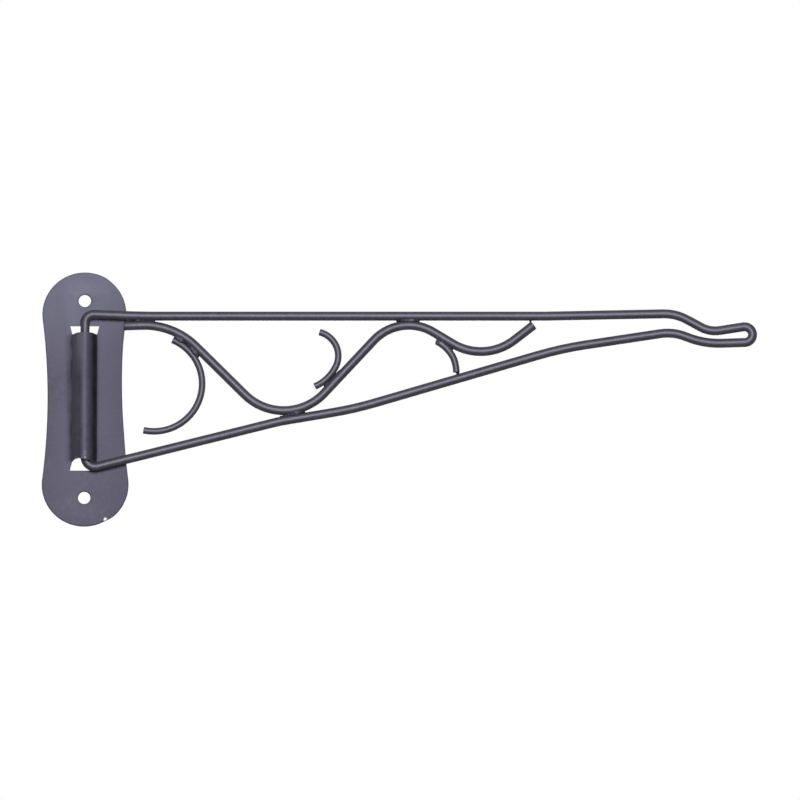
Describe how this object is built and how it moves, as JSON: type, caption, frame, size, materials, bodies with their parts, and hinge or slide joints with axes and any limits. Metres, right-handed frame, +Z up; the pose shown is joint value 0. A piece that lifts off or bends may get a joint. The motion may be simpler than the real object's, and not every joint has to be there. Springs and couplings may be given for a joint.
{
  "type": "swivel hanging basket bracket",
  "caption": "Wall bracket of bent wire with scrollwork: an arm that swivels in a pressed hinge plate and holds a hanging basket in a saddle near its nose.",
  "frame": {"origin": "middle of the plate's back face, halfway between the two screw holes", "axes": "+X to the right along the wall and along the arm, +Y into the wall, +Z up; the plate faces -Y and the arm is drawn swung flat to +X"},
  "size_m": [0.3577, 0.0087, 0.129],
  "materials": {
    "plate_coat": "satin graphite powder coat on pressed steel sheet",
    "wire_coat": "satin graphite powder coat on drawn steel wire"
  },
  "bodies": {
    "plate": {"back_plate": "plate_coat"},
    "arm": {"arm_wire": "wire_coat", "wave_scroll": "wire_coat", "large_scroll": "wire_coat", "middle_scroll": "wire_coat", "small_scroll": "wire_coat", "weld_wave_start": "wire_coat", "weld_wave_seat": "wire_coat", "weld_wave_crest": "wire_coat", "weld_wave_tail": "wire_coat", "weld_large_scroll": "wire_coat", "weld_middle_scroll": "wire_coat", "weld_small_scroll_top": "wire_coat", "weld_small_scroll_foot": "wire_coat"}
  },
  "joints": [
    {"name": "arm_swivel", "type": "hinge", "parent": "plate", "child": "arm", "pos_m": [0, -0.0041, 0], "axis": [0, 0, -1], "range_deg": [0, 180]}
  ]
}
